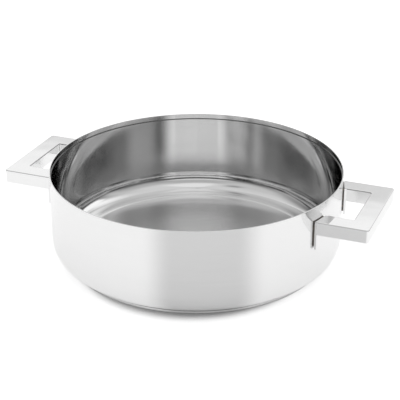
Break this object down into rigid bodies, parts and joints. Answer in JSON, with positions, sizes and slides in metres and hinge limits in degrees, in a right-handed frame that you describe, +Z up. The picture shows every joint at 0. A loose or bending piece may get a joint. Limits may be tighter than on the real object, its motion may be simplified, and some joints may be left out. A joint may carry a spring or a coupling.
{
  "type": "braiser",
  "caption": "Wide, low round steel pan with straight sides, a rounded foot, a capped base and flat rectangular loop side handles.",
  "frame": {"origin": "centre of the flat face that the pan stands on", "axes": "+Z up through the middle of the pan, +X towards the right handle, so the handles lie along X"},
  "size_m": [0.364, 0.28, 0.089],
  "materials": {
    "pan_steel": "polished",
    "cap_steel": "turned satin",
    "handle_steel": "polished casting",
    "core_aluminium": "mill",
    "weld_steel": "as welded"
  },
  "bodies": {
    "root": {"pan_body": "pan_steel", "base_core": "core_aluminium", "base_cap": "cap_steel", "handle_left": "handle_steel", "handle_right": "handle_steel", "handle_left_welds": "weld_steel", "handle_right_welds": "weld_steel"}
  },
  "joints": []
}
